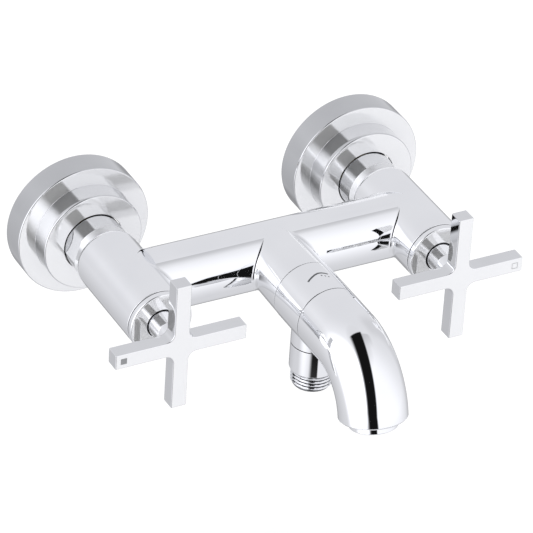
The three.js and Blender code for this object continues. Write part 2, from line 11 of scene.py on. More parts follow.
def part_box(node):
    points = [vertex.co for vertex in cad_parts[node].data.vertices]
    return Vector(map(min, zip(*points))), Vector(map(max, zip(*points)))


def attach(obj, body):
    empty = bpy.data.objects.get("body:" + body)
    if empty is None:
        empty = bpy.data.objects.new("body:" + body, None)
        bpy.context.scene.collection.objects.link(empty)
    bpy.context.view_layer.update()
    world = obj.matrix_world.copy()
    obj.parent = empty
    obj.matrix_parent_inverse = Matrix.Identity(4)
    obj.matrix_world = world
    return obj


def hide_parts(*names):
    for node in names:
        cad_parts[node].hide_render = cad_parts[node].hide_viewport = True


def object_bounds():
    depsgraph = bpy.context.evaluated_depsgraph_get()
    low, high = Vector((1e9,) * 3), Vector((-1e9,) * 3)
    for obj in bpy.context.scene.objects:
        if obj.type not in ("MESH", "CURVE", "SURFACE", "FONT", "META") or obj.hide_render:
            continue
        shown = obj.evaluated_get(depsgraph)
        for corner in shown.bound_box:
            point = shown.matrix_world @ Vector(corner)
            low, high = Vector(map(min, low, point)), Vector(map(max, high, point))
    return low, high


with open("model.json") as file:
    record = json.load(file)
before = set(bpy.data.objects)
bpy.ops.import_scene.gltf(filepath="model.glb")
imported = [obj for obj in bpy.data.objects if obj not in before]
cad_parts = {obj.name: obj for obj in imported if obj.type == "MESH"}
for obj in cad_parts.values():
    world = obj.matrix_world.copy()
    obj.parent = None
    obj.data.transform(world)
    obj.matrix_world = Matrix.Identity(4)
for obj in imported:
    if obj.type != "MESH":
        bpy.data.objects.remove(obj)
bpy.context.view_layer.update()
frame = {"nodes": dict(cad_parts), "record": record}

MM = 0.001
SIDES = {"hot": -1, "cold": 1}
FIXED, SPOUT_BODY = "faucet_body", "spout_assembly"
VALVE_BODY = {"hot": "hot_valve", "cold": "cold_valve"}
AROUND = 96           # facets round a large turned piece
AROUND_SMALL = 48


# ---- sizes read from the CAD frame -----------------------------------------------------------
def centre_and_half(node):
    low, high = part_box(node)
    return (low + high) / 2, (high - low) / 2


def axis_x(side):
    return centre_and_half(f"{side}_rosette")[0].x


ROSETTE_R = centre_and_half("hot_rosette")[1].x
ROSETTE_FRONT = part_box("hot_rosette")[0].y
NUT_R = centre_and_half("hot_union_nut")[1].z
NUT_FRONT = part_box("hot_union_nut")[0].y
NUT_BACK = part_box("hot_union_nut")[1].y
RING_R = centre_and_half("hot_front_ring")[1].x
RING_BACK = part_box("hot_front_ring")[1].y
FACE_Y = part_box("hot_front_ring")[0].y
BODY_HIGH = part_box("body_casting")[1]
SIDE_R = BODY_HIGH.x - axis_x("cold")
HOUSING_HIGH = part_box("diverter_housing")[1]
HOUSING_R = HOUSING_HIGH.x
SPOUT_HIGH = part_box("spout")[1]
SPOUT_R = SPOUT_HIGH.x
NIPPLE_LOW, NIPPLE_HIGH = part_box("outlet_nipple")
NIPPLE_R = NIPPLE_HIGH.x
OUTLET_Y = (NIPPLE_LOW.y + NIPPLE_HIGH.y) / 2
HANDLE_LOW, HANDLE_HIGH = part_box("hot_handle")
ARM_LENGTH = HANDLE_HIGH.z
ARM_FRONT = HANDLE_LOW.y

# ---- other sizes, in metres ------------------------------------------------------------------
ROSETTE_DEPTH = 13.8 * MM
STEP_R = 25.9 * MM
ROSETTE_WALL = 1.4 * MM
NUT_EDGE = -35.1 * MM
NUT_FLAT = 13.8 * MM             # axis to spanner flat
FLAT_BACK = -25.1 * MM           # just in front of the cover plate's face
NUT_FLAT_ANGLE = {"hot": 164, "cold": 30}
SIDE_BACK = -38.6 * MM
SIDE_FRONT = -96.6 * MM
VALVE_BORE_R = 9.3 * MM          # blind bores round the turning spindles and the drum
VALVE_BORE_END = -65.7 * MM
DRUM_BORE_R = 10.4 * MM
DRUM_BORE_END = -105.3 * MM
CROSSBAR_R = 16.0 * MM
CROSSBAR_Y = -66 * MM
STEM_BACK_R = 15.9 * MM
STEM_FRONT_R = 16.5 * MM
STEM_FRONT = -102.2 * MM
SIDE_SHOULDER = 3.6 * MM
BODY_FILLET = 2.2 * MM
HOUSING_BACK = STEM_FRONT - 0.4 * MM
SEAM_EDGE = 0.12 * MM
SEAM_SINK = 0.08 * MM
HOUSING_FRONT = -126 * MM
BOSS_R = 11.35 * MM
BOSS_Z = -20.3 * MM
ARM_HALF = 3.95 * MM
ARM_BACK = -113.5 * MM
ARM_FILLET = 4.2 * MM
HUB_R = 7.05 * MM
SPOUT_BACK = -126.4 * MM
SPOUT_BEND_Y = -143.8 * MM
SPOUT_BEND_R = 31 * MM
SPOUT_BEND = math.radians(76.6)
SPOUT_END = 1.7 * MM
MOUTH_R = 12.1 * MM
AERATOR_R = 11.7 * MM
AERATOR_OUT = 4.4 * MM
PIPE_PITCH = 1.814 * MM


# ---- mesh helpers ----------------------------------------------------------------------------
def make_object(name, verts, faces, body, material, slot, sharp_deg=32, weighted=True):
    """A closed piece with welded vertices, smooth faces and outward normals."""
    bm = bmesh.new()
    made = [bm.verts.new(v) for v in verts]
    for f in faces:
        corners = [made[i] for i in f]
        if len({tuple(round(c, 8) for c in v.co) for v in corners}) == len(corners):
            bm.faces.new(corners)
        else:
            kept = []
            for v in corners:
                if all((v.co - k.co).length > 1e-8 for k in kept):
                    kept.append(v)
            if len(kept) > 2:
                bm.faces.new(kept)
    bmesh.ops.remove_doubles(bm, verts=bm.verts, dist=2e-6)
    bmesh.ops.recalc_face_normals(bm, faces=bm.faces)
    return object_from(bm, name, body, material, sharp_deg, weighted)


def object_from(bm, name, body, material, sharp_deg=32, weighted=True):
    mesh = bpy.data.meshes.new(name)
    bm.to_mesh(mesh)
    bm.free()
    mesh.polygons.foreach_set("use_smooth", [True] * len(mesh.polygons))
    mesh.set_sharp_from_angle(angle=math.radians(sharp_deg))
    mesh.materials.append(material)
    obj = bpy.data.objects.new(name, mesh)
    bpy.context.scene.collection.objects.link(obj)
    if weighted:
        weigh(obj)
    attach(obj, body)
    return obj


def weigh(obj):
    modifier = obj.modifiers.new("weighted", "WEIGHTED_NORMAL")
    modifier.keep_sharp = True
    modifier.weight = 100


def face_finish_or_painted_light(obj, material, chosen):
    """Gives the faces picked by their normal and centre a finish of their own, or a lighter or darker copy
    of the chrome that paints light or shade on them.
    """
    obj.data.materials.append(material)
    index = len(obj.data.materials) - 1
    for face in obj.data.polygons:
        if chosen(face.normal, face.center):
            face.material_index = index


def faces_level(normal, _):
    """Flat faces that look straight forward or straight back."""
    return abs(normal.y) > 0.97


def rounded(points, radii, steps=4, closed=True):
    """A 2D outline whose corners are replaced by tangent arcs of the given radii."""
    out = []
    count = len(points)
    for i, (point, radius) in enumerate(zip(points, radii)):
        p = Vector(point)
        if radius <= 0 or (not closed and i in (0, count - 1)):
            out.append(tuple(p))
            continue
        a = Vector(points[i - 1]) - p
        b = Vector(points[(i + 1) % count]) - p
        a.normalize()
        b.normalize()
        half = a.angle(b) / 2
        reach = radius / math.tan(half)
        centre = p + (a + b).normalized() * (radius / math.sin(half))
        start = p + a * reach - centre
        end = p + b * reach - centre
        sweep = start.angle(end)
        for k in range(steps + 1):
            t = k / steps
            w0 = math.sin((1 - t) * sweep) / math.sin(sweep)
            w1 = math.sin(t * sweep) / math.sin(sweep)
            out.append(tuple(centre + start * w0 + end * w1))
    return out


def turned_faces(rings, around, closed):
    faces = []
    last = rings if closed else rings - 1
    for j in range(last):
        k = (j + 1) % rings
        for i in range(around):
            n = (i + 1) % around
            faces.append((j * around + i, j * around + n, k * around + n, k * around + i))
    return faces


def turned(name, outline, centre, body, material, slot, axis="Y", around=AROUND, closed=True, **more):
    """A solid turned about a line through `centre`; outline points are (radius, place on axis)."""
    verts = []
    for r, h in outline:
        for i in range(around):
            a = 2 * math.pi * i / around
            u, v = r * math.cos(a), r * math.sin(a)
            if axis == "Y":
                verts.append((centre[0] + u, h, centre[2] + v))
            elif axis == "X":
                verts.append((h, centre[1] + u, centre[2] + v))
            else:
                verts.append((centre[0] + u, centre[1] + v, h))
    faces = turned_faces(len(outline), around, closed)
    if not closed:
        faces.append(tuple(range(around)))
        faces.append(tuple(range((len(outline) - 1) * around, len(outline) * around)))
    return make_object(name, verts, faces, body, material, slot, **more)


def grid_between(first, last, steps, verts, faces):
    """Quads between two curves of as many points, joined by straight lines."""
    base = len(verts)
    count = len(first)
    for j in range(steps + 1):
        t = j / steps
        verts.extend(tuple(a * (1 - t) + b * t for a, b in zip(p, q)) for p, q in zip(first, last))
    for j in range(steps):
        for i in range(count - 1):
            a = base + j * count + i
            faces.append((a, a + 1, a + count + 1, a + count))


# ---- materials -------------------------------------------------------------------------------
class Nodes:
    """A short way to wire a node material."""

    def __init__(self, name):
        self.material = bpy.data.materials.new(name)
        self.material.use_nodes = True
        self.tree = self.material.node_tree
        self.shader = self.tree.nodes["Principled BSDF"]
        self.place = self.add("ShaderNodeTexCoord").outputs["Object"]

    def add(self, kind, **values):
        node = self.tree.nodes.new(kind)
        for key, value in values.items():
            if key in node.inputs:
                node.inputs[key].default_value = value
            else:
                setattr(node, key, value)
        return node

    def link(self, source, target):
        self.tree.links.new(source, target)

    def noise(self, scale, detail=3.0, stretch=None):
        node = self.add("ShaderNodeTexNoise", Scale=scale, Detail=detail)
        if stretch:
            mapping = self.add("ShaderNodeMapping", Scale=stretch)
            self.link(self.place, mapping.inputs["Vector"])
            self.link(mapping.outputs["Vector"], node.inputs["Vector"])
        else:
            self.link(self.place, node.inputs["Vector"])
        return node.outputs["Fac"]

    def ramp(self, fac, stops):
        node = self.add("ShaderNodeValToRGB")
        elements = node.color_ramp.elements
        elements[0].position, elements[0].color = stops[0][0], (*stops[0][1], 1)
        elements[1].position, elements[1].color = stops[1][0], (*stops[1][1], 1)
        for place, colour in stops[2:]:
            elements.new(place).color = (*colour, 1)
        self.link(fac, node.inputs["Fac"])
        return node.outputs["Color"]

    def range(self, fac, low, high):
        node = self.add("ShaderNodeMapRange")
        node.inputs["To Min"].default_value = low
        node.inputs["To Max"].default_value = high
        self.link(fac, node.inputs["Value"])
        return node.outputs["Result"]

    def bump(self, height, strength, distance):
        node = self.add("ShaderNodeBump", Strength=strength, Distance=distance)
        self.link(height, node.inputs["Height"])
        self.link(node.outputs["Normal"], self.shader.inputs["Normal"])
        return node


def finish_material(name, colours, rough, metallic=0.0, scale=300, grain=None, **bump):
    """Colour and roughness that vary a little over the surface, with a fine bump."""
    n = Nodes(name)
    broad = n.noise(scale * 0.25, 4)
    fine = n.noise(scale, 5, grain)
    n.link(n.ramp(broad, [(0.3, colours[0]), (0.7, colours[1])]), n.shader.inputs["Base Color"])
    n.link(n.range(fine, *rough), n.shader.inputs["Roughness"])
    n.shader.inputs["Metallic"].default_value = metallic
    if bump:
        n.bump(fine, **bump)
    return n.material


CHROME = finish_material("polished_chrome", [(0.90, 0.905, 0.92), (0.93, 0.935, 0.945)], (0.015, 0.05),
                         1.0, 160, strength=0.04, distance=0.00002)
# Lighter, partly diffuse copy of the chrome for flat faces: a satin haze, and painted light on those
# faces.
SATIN_FACE_LIT = finish_material("satin_face_chrome_painted_light", [(0.94, 0.942, 0.95), (0.96, 0.962, 0.97)], (0.05, 0.09),
                        0.62, 160, strength=0.04, distance=0.00002)
# Darker copy of the chrome for the handles' sides: painted shade.
HANDLE_SIDE_SHADED = finish_material("handle_side_chrome_painted_shade", [(0.76, 0.765, 0.775), (0.80, 0.805, 0.815)],
                              (0.02, 0.05), 1.0, 160, strength=0.04, distance=0.00002)
CHAMFER = finish_material("satin_chamfer_chrome", [(0.84, 0.845, 0.855), (0.87, 0.875, 0.885)],
                          (0.45, 0.55), 0.9, 160, strength=0.04, distance=0.00002)
# Darker copy of the chrome for the walls of the cover plates and union nuts: painted shade.
SHADED_WALL_CHROME = finish_material("wall_chrome_painted_shade", [(0.65, 0.655, 0.665), (0.69, 0.695, 0.705)], (0.02, 0.06),
                        1.0, 160, strength=0.04, distance=0.00002)
# Still darker copy of the chrome for the cover plates' outer rim: painted shade.
RIM_SHADED_CHROME = finish_material("rim_chrome_painted_shade", [(0.585, 0.59, 0.60), (0.625, 0.63, 0.64)], (0.05, 0.1),
                      1.0, 160, strength=0.04, distance=0.00002)
# Near-black copy of the chrome for the thread roots: painted shade in the grooves.
THREAD_ROOT_SHADE = finish_material("thread_root_painted_shade", [(0.16, 0.165, 0.17), (0.22, 0.225, 0.23)],
                              (0.15, 0.3), 1.0, 160, strength=0.04, distance=0.00002)
BRASS = finish_material("machined_brass", [(0.66, 0.47, 0.20), (0.78, 0.60, 0.30)], (0.22, 0.42),
                        1.0, 500, (1, 9, 1), strength=0.35, distance=0.0001)
NICKEL = finish_material("nickel_plated_brass", [(0.30, 0.29, 0.27), (0.38, 0.37, 0.34)], (0.25, 0.4),
                         1.0, 500, (1, 9, 1), strength=0.3, distance=0.0001)
STEEL = finish_material("bright_steel", [(0.60, 0.61, 0.63), (0.70, 0.71, 0.72)], (0.18, 0.34),
                        1.0, 700, (6, 1, 1), strength=0.25, distance=0.00005)
# Black rubber for the wall seals and hidden seals; the same black also fills the seams' gaps as painted
# shade.
RUBBER_AND_SEAM_SHADE = finish_material("black_rubber_and_seam_shade", [(0.015, 0.015, 0.017), (0.03, 0.03, 0.032)], (0.55, 0.8),
                         0.0, 900, strength=0.4, distance=0.0001)
CERAMIC = finish_material("ground_ceramic", [(0.86, 0.84, 0.79), (0.93, 0.92, 0.88)], (0.15, 0.3),
                          0.0, 1200, strength=0.1, distance=0.00003)
PLASTIC = finish_material("moulded_plastic", [(0.78, 0.78, 0.76), (0.85, 0.85, 0.84)], (0.35, 0.5),
                          0.0, 900, strength=0.15, distance=0.00005)
PTFE = finish_material("white_ptfe", [(0.86, 0.86, 0.84), (0.92, 0.92, 0.9)], (0.3, 0.45),
                       0.0, 700, strength=0.1, distance=0.00004)
ENAMEL = finish_material("grey_enamel", [(0.24, 0.245, 0.255), (0.28, 0.285, 0.295)], (0.3, 0.45),
                         0.0, 1500, strength=0.1, distance=0.00003)
MARK = finish_material("dark_grey_enamel", [(0.07, 0.075, 0.08), (0.10, 0.105, 0.11)], (0.3, 0.45),
                       0.0, 1500, strength=0.1, distance=0.00003)
BY_SLOT = {"chrome": CHROME, "brass": BRASS, "steel": STEEL, "rubber": RUBBER_AND_SEAM_SHADE,
           "ceramic": CERAMIC, "plastic": PLASTIC, "ptfe": PTFE, "index": ENAMEL}


# ---- wall side pieces ------------------------------------------------------------------------
def add_rosette(side):
    wall = ROSETTE_WALL
    hole = NUT_R + 0.4 * MM
    outline = [
        (ROSETTE_R, 0), (ROSETTE_R, -ROSETTE_DEPTH), (STEP_R, -ROSETTE_DEPTH),
        (STEP_R, ROSETTE_FRONT), (hole, ROSETTE_FRONT), (hole, ROSETTE_FRONT + wall),
        (STEP_R - wall, ROSETTE_FRONT + wall), (STEP_R - wall, -ROSETTE_DEPTH + wall),
        (ROSETTE_R - wall, -ROSETTE_DEPTH + wall), (ROSETTE_R - wall, 0),
    ]
    soft = 0.7 * MM
    radii = [0.2 * MM, soft, 0.15 * MM, soft, 0.25 * MM, 0.2 * MM, 0.8 * MM, 0.3 * MM, 0.8 * MM, 0.2 * MM]
    piece = turned(f"{side}_rosette_shell", rounded(outline, radii), (axis_x(side), 0, 0),
                   FIXED, SHADED_WALL_CHROME, "chrome", around=128)
    # Flat faces take the lighter satin copy of the chrome (painted light); the walls keep the darker copy
    # (painted shade).
    face_finish_or_painted_light(piece, SATIN_FACE_LIT, faces_level)
    x = axis_x(side)
    # The outer rim takes a still darker copy: painted shade.
    face_finish_or_painted_light(piece, RIM_SHADED_CHROME, lambda normal, centre: abs(normal.y) < 0.2
                 and math.hypot(centre.x - x, centre.z) > ROSETTE_R - 0.1 * MM)
    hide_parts(f"{side}_rosette")


def add_wall_seal(side):
    (low, high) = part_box(f"{side}_wall_seal")
    outer = (high.x - low.x) / 2
    inner = outer - 5.5 * MM
    soft = 1.1 * MM
    outline = [(outer, high.y), (outer, low.y), (inner, low.y), (inner, high.y)]
    piece = turned(f"{side}_wall_seal_ring", rounded(outline, [0.3 * MM, soft, soft, 0.3 * MM]),
                   (axis_x(side), 0, 0), FIXED, RUBBER_AND_SEAM_SHADE, "rubber")
    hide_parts(f"{side}_wall_seal")


def nut_radius(angle, radius, side):
    """Distance from the nut's axis to its outside, flattened on two opposite flats."""
    turn = math.cos(angle - math.radians(NUT_FLAT_ANGLE[side]))
    return min(radius, NUT_FLAT / max(abs(turn), 1e-6))


def add_union_nut(side):
    """Round nut with two flats, which start in front of the cover plate."""
    x = axis_x(side)
    bore = 10.9 * MM
    outline = rounded(
        [(NUT_R - 0.6 * MM, NUT_BACK), (NUT_R, NUT_BACK - 0.6 * MM), (NUT_R, FLAT_BACK + 0.02 * MM),
         (NUT_R, FLAT_BACK - 0.02 * MM), (NUT_R, NUT_EDGE),
         (13.4 * MM, NUT_FRONT), (bore, NUT_FRONT), (bore, -33.9 * MM),
         (13.6 * MM, -33.9 * MM), (13.6 * MM, NUT_BACK)],
        [0.1 * MM, 0.2 * MM, 0, 0, 0.25 * MM, 0.2 * MM, 0.2 * MM, 0.1 * MM, 0.1 * MM, 0.1 * MM])
    flat = math.radians(NUT_FLAT_ANGLE[side])
    half = math.acos(NUT_FLAT / NUT_R)
    angles = set()
    for start in (flat, flat + math.pi):
        steps = 6
        for k in range(steps + 1):
            angles.add(round((start - half + 2 * half * k / steps) % (2 * math.pi), 9))
        gap = math.pi - 2 * half
        for k in range(1, 40):
            angles.add(round((start + half + gap * k / 40) % (2 * math.pi), 9))
    angles = sorted(angles)
    verts = []
    for r, y in outline:
        for a in angles:
            q = nut_radius(a, r, side) if r > 13.0 * MM and y < FLAT_BACK else r
            q = q if r > bore + 0.5 * MM else r
            q = max(q, 13.6 * MM) if abs(r - 13.6 * MM) < 1e-7 else q
            verts.append((x + q * math.cos(a), y, q * math.sin(a)))
    faces = turned_faces(len(outline), len(angles), True)
    # Its walls take the darker copy of the chrome: painted shade; the front chamfer a rougher satin
    # finish.
    piece = make_object(f"{side}_union_nut_ring", verts, faces, FIXED, SHADED_WALL_CHROME, "chrome", sharp_deg=14)
    face_finish_or_painted_light(piece, CHAMFER, lambda normal, _: normal.y < -0.3)
    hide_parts(f"{side}_union_nut")


def thread_rings(low, high, crest, depth, pitch, step):
    """(place, radius as a function of angle) for a helical pipe thread."""
    count = max(int(round((high - low) / step)), 4)
    rings = []
    for j in range(count + 1):
        h = low + (high - low) * j / count
        fade = min(1.0, (h - low) / (pitch * 0.6), (high - h) / (pitch * 0.3))
        rings.append((h, fade))

    def radius(h, fade, angle):
        phase = ((h / pitch) + angle / (2 * math.pi)) % 1.0
        tooth = min(max(2.6 * (0.5 - abs(phase - 0.5)) - 0.1, 0.0), 1.0)
        return crest - depth + depth * tooth * max(fade, 0.0)

    return rings, radius


def add_eccentric_union(side):
    """Brass connector: threaded tail, offset belly with two flats, collar for the nut."""
    node = f"{side}_eccentric_union"
    low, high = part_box(node)
    x = axis_x(side)
    thread_r = (high.x - low.x) / 2
    tail_r = 10.4 * MM
    tail_z = low.z + thread_r
    bore = 7.5 * MM
    rings, radius = thread_rings(0.5 * MM, high.y - 0.8 * MM, tail_r, 1.05 * MM, PIPE_PITCH, 0.2 * MM)
    around = 72
    verts = []

    def add_ring(y, z, size):
        for i in range(around):
            a = 2 * math.pi * i / around
            r = size(a) if callable(size) else size
            verts.append((x + r * math.cos(a), y, z + r * math.sin(a)))

    add_ring(low.y + 12 * MM, tail_z, bore)
    add_ring(high.y - 0.5 * MM, tail_z, bore)
    add_ring(high.y, tail_z, bore + 0.5 * MM)
    add_ring(high.y, tail_z, tail_r - 1.5 * MM)
    add_ring(high.y - 0.8 * MM, tail_z, tail_r - 1.05 * MM)
    for y, fade in reversed(rings):
        add_ring(y, tail_z, lambda a, y=y, fade=fade: radius(y, fade, a))
    add_ring(-3.9 * MM, tail_z, tail_r - 0.9 * MM)
    add_ring(-4.0 * MM, tail_z, tail_r - 0.9 * MM)
    faces = turned_faces(len(verts) // around, around, False)
    faces.append(tuple(range(around)))
    faces.append(tuple(range(len(verts) - around, len(verts))))
    tail = make_object(f"{side}_union_tail", verts, faces, FIXED, BRASS, "brass", sharp_deg=50)
    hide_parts(node)

    belly = bmesh.new()
    outline = []
    steps = 40
    for k in range(steps + 1):
        a = math.pi * k / steps
        outline.append((x + thread_r * math.cos(a), thread_r * math.sin(a)))
    for k in range(steps + 1):
        a = math.pi + math.pi * k / steps
        outline.append((x + thread_r * math.cos(a), tail_z + thread_r * math.sin(a)))
    back = [belly.verts.new((px, -4 * MM, pz)) for px, pz in outline]
    face = belly.faces.new(back)
    pushed = bmesh.ops.extrude_face_region(belly, geom=[face])
    moved = [v for v in pushed["geom"] if isinstance(v, bmesh.types.BMVert)]
    bmesh.ops.translate(belly, verts=moved, vec=(0, -8 * MM, 0))
    bmesh.ops.recalc_face_normals(belly, faces=belly.faces)
    rims = [e for e in belly.edges if e.calc_face_angle(0) > 1.0]
    bmesh.ops.bevel(belly, geom=rims, offset=0.9 * MM, segments=3, profile=0.5, affect="EDGES")
    bmesh.ops.remove_doubles(belly, verts=belly.verts, dist=1e-6)
    object_from(belly, f"{side}_union_belly", FIXED, NICKEL)

    crest = thread_r - 0.1 * MM
    root = crest - 1.0 * MM
    collar = [(8.5 * MM, low.y), (root, low.y), (crest, low.y + 1.0 * MM), (crest, -14 * MM),
              (root, -13 * MM), (root, -11 * MM), (8.5 * MM, -11 * MM)]
    turned(f"{side}_union_collar", rounded(collar, [0.2 * MM] * 7, 3), (x, 0, 0),
           FIXED, NICKEL, "brass")


# ---- body ------------------------------------------------------------------------------------
def tube_end(verts, faces, ring, centre, outline):
    """Rings that carry a tube's end ring along an outline of (radius, y), closed by a face."""
    count = len(ring)
    angles = [math.atan2(p[2] - centre[2], p[0] - centre[0]) for p in ring]
    base = len(verts)
    verts.extend(ring)
    for r, y in outline:
        verts.extend((centre[0] + r * math.cos(a), y, centre[2] + r * math.sin(a)) for a in angles)
    for j in range(len(outline)):
        for i in range(count):
            n = (i + 1) % count
            a = base + j * count
            faces.append((a + i, a + n, a + count + n, a + count + i))
    last = base + len(outline) * count
    faces.append(tuple(range(last, last + count)))


def arc_outline(r0, y0, r1, y1, steps):
    """Quarter round between two (radius, y) points."""
    points = []
    for k in range(1, steps + 1):
        a = math.pi / 2 * k / steps
        points.append((r0 + (r1 - r0) * (1 - math.cos(a)), y0 + (y1 - y0) * math.sin(a)))
    return points


def stem_radius(forward):
    """Radius of the tapered stem at a distance forward of the crossbar's axis."""
    return STEM_BACK_R + (STEM_FRONT_R - STEM_BACK_R) * forward / (CROSSBAR_Y - STEM_FRONT)


def add_fillet(name, centre, radius_at, big_r, out, fillet):
    """Hollow round strip where a tube leaves a thicker level tube in the direction `out`."""
    up = Vector((0, 0, 1))
    across = out.cross(up)
    steps = 6
    rings = [[] for _ in range(steps + 2)]
    for i in range(AROUND):
        a = 2 * math.pi * i / AROUND
        side = across * math.cos(a) + up * math.sin(a)
        forward = 0.0
        for _ in range(5):
            reach = radius_at(forward) + fillet
            rise = reach * math.sin(a)
            forward = math.sqrt(max((big_r + fillet) ** 2 - rise ** 2, 0.0))
        ball = centre + side * reach + out * forward
        to_small = -side
        to_big = -(out * forward + up * rise).normalized()
        half = to_small.angle(to_big) / 2
        for k in range(steps + 1):
            rings[k].append(ball + to_small.slerp(to_big, k / steps) * fillet)
        inward = (to_small + to_big).normalized()
        rings[-1].append(ball + inward * (fillet / math.cos(half) + 0.4 * MM))
    verts = [v for ring in rings for v in ring]
    faces = turned_faces(len(rings), AROUND, True)
    return make_object(name, verts, faces, FIXED, CHROME, "chrome", sharp_deg=40, weighted=False)


def add_body():
    """Two side tubes, the crossbar and the tapered stem, with a small fillet at each joint.

    The crossbar ends just inside the side tubes, clear of the bores for the spindles.
    """
    reach = axis_x("cold") - VALVE_BORE_R - 0.2 * MM
    edge, core = 0.25 * MM, 6 * MM
    # A black ring sits just under the surface in the gap between stem and housing: a dark ring put there
    # as painted shade for the seam.
    seam_r = STEM_FRONT_R - SEAM_SINK
    seam = [(seam_r, STEM_FRONT + 0.05 * MM), (seam_r, HOUSING_BACK - 0.05 * MM),
            (14 * MM, HOUSING_BACK - 0.05 * MM), (14 * MM, STEM_FRONT + 0.05 * MM)]
    turned("stem_seam_shade_ring", seam, (0, 0, 0), FIXED, RUBBER_AND_SEAM_SHADE, "rubber", around=128)
    cross = [(CROSSBAR_R, -reach), (CROSSBAR_R, reach)]
    piece = turned("crossbar_tube", cross, (0, CROSSBAR_Y, 0), FIXED, CHROME, "chrome",
                   axis="X", around=128, closed=False)
    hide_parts("body_casting")
    stem = rounded([(core, CROSSBAR_Y), (STEM_BACK_R, CROSSBAR_Y), (STEM_FRONT_R, STEM_FRONT),
                    (core, STEM_FRONT)], [0, 0, SEAM_EDGE, 0], closed=False)
    turned("stem_tube", stem, (0, 0, 0), FIXED, CHROME, "chrome", around=128, closed=False)
    add_fillet("stem_fillet", Vector((0, CROSSBAR_Y, 0)), stem_radius, CROSSBAR_R,
               Vector((0, -1, 0)), BODY_FILLET)
    side = rounded([(core, SIDE_BACK), (SIDE_R, SIDE_BACK), (SIDE_R, SIDE_FRONT),
                    (VALVE_BORE_R, SIDE_FRONT), (VALVE_BORE_R, VALVE_BORE_END)],
                   [0, SIDE_SHOULDER, edge, 0, 0], 10, closed=False)
    for name, sign in SIDES.items():
        x = axis_x(name)
        turned(f"{name}_side_tube", side, (x, 0, 0), FIXED, CHROME, "chrome", around=128,
               closed=False)
        add_fillet(f"{name}_side_fillet", Vector((x, CROSSBAR_Y, 0)), lambda _: CROSSBAR_R, SIDE_R,
                   Vector((-sign, 0, 0)), BODY_FILLET)


def add_front_ring(side):
    hole = HUB_R + 0.55 * MM
    lip = hole - 0.02 * MM
    inner = HUB_R + 0.12 * MM
    # A black ring just under the face fills the gap round the hub: a dark ring put there as painted shade.
    seal = [(lip, FACE_Y + 0.3 * MM), (lip, FACE_Y + 1.6 * MM), (inner, FACE_Y + 1.6 * MM),
            (inner, FACE_Y + 0.3 * MM)]
    turned(f"{side}_hub_gap_shade", seal, (axis_x(side), 0, 0), FIXED, RUBBER_AND_SEAM_SHADE, "rubber")
    # A black ring just inside the joint fills the gap between cap ring and side tube: painted shade.
    gap_shade_r = min(RING_R, SIDE_R) - 0.15 * MM
    gap_shade = [(gap_shade_r, RING_BACK + 0.02 * MM), (gap_shade_r, SIDE_FRONT - 0.02 * MM),
              (12 * MM, SIDE_FRONT - 0.02 * MM), (12 * MM, RING_BACK + 0.02 * MM)]
    turned(f"{side}_ring_gap_shade", gap_shade, (axis_x(side), 0, 0), FIXED, RUBBER_AND_SEAM_SHADE, "rubber")
    outline = [(RING_R, RING_BACK), (RING_R, FACE_Y), (hole, FACE_Y), (hole, -98.4 * MM),
               (9.1 * MM, -98.4 * MM), (9.1 * MM, RING_BACK)]
    radii = [0.25 * MM, 0.7 * MM, 0.3 * MM, 0.1 * MM, 0.1 * MM, 0.2 * MM]
    piece = turned(f"{side}_front_cap_ring", rounded(outline, radii), (axis_x(side), 0, 0),
                   FIXED, CHROME, "chrome")
    # Flat faces take the lighter satin copy of the chrome: painted light.
    face_finish_or_painted_light(piece, SATIN_FACE_LIT, faces_level)
    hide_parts(f"{side}_front_ring")


# ---- handles ---------------------------------------------------------------------------------
def cross_outline():
    """Plus shape in (x, z) with round inner corners."""
    h, f = ARM_HALF, ARM_FILLET
    points = []
    for quarter in range(4):
        turn = Matrix.Rotation(quarter * math.pi / 2, 2)
        corner = [Vector((h, ARM_LENGTH)), Vector((-h, ARM_LENGTH))]
        steps = 8
        for k in range(steps + 1):
            a = -math.pi / 2 * k / steps
            corner.append(Vector((-h - f + f * math.cos(a), h + f + f * math.sin(a))))
        points.extend(tuple(turn @ p) for p in corner)
    return points


def add_handle(side):
    x = axis_x(side)
    bm = bmesh.new()
    back = [bm.verts.new((x + px, ARM_BACK, pz)) for px, pz in cross_outline()]
    bm.faces.new(back)
    pushed = bmesh.ops.extrude_face_region(bm, geom=list(bm.faces))
    moved = [v for v in pushed["geom"] if isinstance(v, bmesh.types.BMVert)]
    bmesh.ops.translate(bm, verts=moved, vec=(0, ARM_FRONT - ARM_BACK, 0))
    bmesh.ops.recalc_face_normals(bm, faces=bm.faces)
    crisp = [e for e in bm.edges if e.calc_face_angle(0) > math.radians(40)]
    bmesh.ops.bevel(bm, geom=crisp, offset=0.5 * MM, segments=4, profile=0.5, affect="EDGES")
    # Sides take a darker copy of the chrome and flat faces a lighter one: painted shade and painted light.
    piece = object_from(bm, f"{side}_cross_handle", VALVE_BODY[side], HANDLE_SIDE_SHADED,
                        sharp_deg=35)
    face_finish_or_painted_light(piece, SATIN_FACE_LIT, faces_level)
    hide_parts(f"{side}_handle")
    back_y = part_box(f"{side}_handle")[1].y
    outline = rounded([(0, back_y), (HUB_R, back_y), (HUB_R, ARM_BACK - 1 * MM), (0, ARM_BACK - 1 * MM)],
                      [0, 0.3 * MM, 0, 0], closed=False)
    turned(f"{side}_handle_hub", [p for p in outline if p[0] > 0], (x, 0, 0), VALVE_BODY[side],
           CHROME, "chrome", around=AROUND_SMALL * 2, closed=False)


